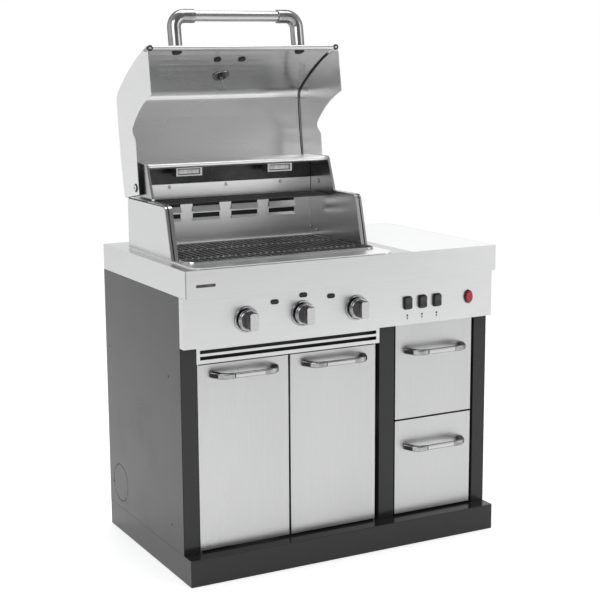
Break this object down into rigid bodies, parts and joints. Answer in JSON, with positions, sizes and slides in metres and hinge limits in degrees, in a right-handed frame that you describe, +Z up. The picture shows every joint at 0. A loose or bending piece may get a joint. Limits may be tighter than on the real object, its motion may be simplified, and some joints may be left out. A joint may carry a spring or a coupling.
{
  "type": "gas barbecue grill",
  "caption": "Free-standing gas barbecue grill on an island cabinet with a hinged lid, side shelf, doors and drawers.",
  "frame": {"origin": "on the floor, in the middle of the whole object seen from above", "axes": "+Z up, +Y from the doors and knobs towards the back, +X to the right as seen from the front"},
  "size_m": [1.045, 0.673, 1.632],
  "materials": {
    "graphite_paint": "gloss powder coat",
    "zinc_steel": "zinc-coated sheet",
    "chrome_trim": "polished",
    "black_plastic": "satin gloss",
    "red_plastic": "clear red gloss",
    "lamp_glass": "frosted lens",
    "enamelled_iron": "matt porcelain enamel",
    "brushed_stainless": "brushed"
  },
  "bodies": {
    "cabinet": {"bay_divider": "graphite_paint", "burner_1": "zinc_steel", "burner_2": "zinc_steel", "burner_3": "zinc_steel", "cabinet_floor": "graphite_paint", "control_panel": "brushed_stainless", "cooking_grate_1": "enamelled_iron", "cooking_grate_2": "enamelled_iron", "cooking_grate_3": "enamelled_iron", "countertop": "brushed_stainless", "firebox_back": "brushed_stainless", "firebox_lamp_left": "lamp_glass", "firebox_lamp_right": "lamp_glass", "firebox_side_left": "brushed_stainless", "firebox_side_right": "brushed_stainless", "firebox_skin_left": "brushed_stainless", "firebox_skin_right": "brushed_stainless", "firebox_tub": "brushed_stainless", "gas_manifold": "zinc_steel", "heat_plate_1": "zinc_steel", "heat_plate_2": "zinc_steel", "heat_plate_3": "zinc_steel", "hood": "brushed_stainless", "left_post": "graphite_paint", "left_side_panel": "graphite_paint", "louvre_panel": "brushed_stainless", "plinth_front": "graphite_paint", "plinth_left": "graphite_paint", "plinth_rear": "graphite_paint", "plinth_right": "graphite_paint", "rear_panel": "zinc_steel", "right_post": "graphite_paint", "right_side_panel": "graphite_paint", "side_shelf": "brushed_stainless", "warming_rack": "enamelled_iron"},
    "knob_1": {"burner_knob_1": "chrome_trim"},
    "knob_2": {"burner_knob_2": "chrome_trim"},
    "knob_3": {"burner_knob_3": "chrome_trim"},
    "left_door": {"door_left": "brushed_stainless", "door_pull_left": "brushed_stainless"},
    "right_door": {"door_pull_right": "brushed_stainless", "door_right": "brushed_stainless"},
    "lower_drawer": {"drawer_box_lower": "zinc_steel", "drawer_front_lower": "brushed_stainless", "drawer_pull_lower": "brushed_stainless"},
    "upper_drawer": {"drawer_box_upper": "zinc_steel", "drawer_front_upper": "brushed_stainless", "drawer_pull_upper": "brushed_stainless"},
    "tray": {"grease_tray": "zinc_steel"},
    "igniter": {"igniter_button": "red_plastic"},
    "lid": {"lid_handle_bar": "brushed_stainless", "lid_handle_elbow_left": "chrome_trim", "lid_handle_elbow_right": "chrome_trim", "lid_side_left": "brushed_stainless", "lid_side_right": "brushed_stainless", "lid_skin": "brushed_stainless", "lid_thermometer": "chrome_trim"},
    "button_1": {"light_button_1": "black_plastic"},
    "button_2": {"light_button_2": "black_plastic"},
    "button_3": {"light_button_3": "black_plastic"}
  },
  "joints": [
    {"name": "lid_hinge", "type": "hinge", "parent": "cabinet", "child": "lid", "pos_m": [-0.163, 0.15095, 1.104], "axis": [1, 0, 0], "range_deg": [0, 98.7]},
    {"name": "left_door_hinge", "type": "hinge", "parent": "cabinet", "child": "left_door", "pos_m": [-0.4672, -0.25255, 0.36], "axis": [0, 0, -1], "range_deg": [0, 90]},
    {"name": "right_door_hinge", "type": "hinge", "parent": "cabinet", "child": "right_door", "pos_m": [0.1149, -0.25255, 0.36], "axis": [0, 0, 1], "range_deg": [0, 90]},
    {"name": "upper_drawer_slide", "type": "slide", "parent": "cabinet", "child": "upper_drawer", "axis": [0, -1, 0], "range_m": [0, 0.4]},
    {"name": "lower_drawer_slide", "type": "slide", "parent": "cabinet", "child": "lower_drawer", "axis": [0, -1, 0], "range_m": [0, 0.4]},
    {"name": "knob_1_turn", "type": "hinge", "parent": "cabinet", "child": "knob_1", "pos_m": [-0.327, -0.28945, 0.76], "axis": [0, -1, 0], "range_deg": [0, 180]},
    {"name": "knob_2_turn", "type": "hinge", "parent": "cabinet", "child": "knob_2", "pos_m": [-0.146, -0.28945, 0.76], "axis": [0, -1, 0], "range_deg": [0, 180]},
    {"name": "knob_3_turn", "type": "hinge", "parent": "cabinet", "child": "knob_3", "pos_m": [0.035, -0.28945, 0.76], "axis": [0, -1, 0], "range_deg": [0, 180]},
    {"name": "light_button_1_press", "type": "slide", "parent": "cabinet", "child": "button_1", "axis": [0, 1, 0], "range_m": [0, 0.004], "stiffness_N_per_m": 400, "springref_m": -0.001},
    {"name": "light_button_2_press", "type": "slide", "parent": "cabinet", "child": "button_2", "axis": [0, 1, 0], "range_m": [0, 0.004], "stiffness_N_per_m": 400, "springref_m": -0.001},
    {"name": "light_button_3_press", "type": "slide", "parent": "cabinet", "child": "button_3", "axis": [0, 1, 0], "range_m": [0, 0.004], "stiffness_N_per_m": 400, "springref_m": -0.001},
    {"name": "igniter_press", "type": "slide", "parent": "cabinet", "child": "igniter", "axis": [0, 1, 0], "range_m": [0, 0.005], "stiffness_N_per_m": 400, "springref_m": -0.001},
    {"name": "grease_tray_slide", "type": "slide", "parent": "cabinet", "child": "tray", "axis": [0, 1, 0], "range_m": [0, 0.35]}
  ]
}
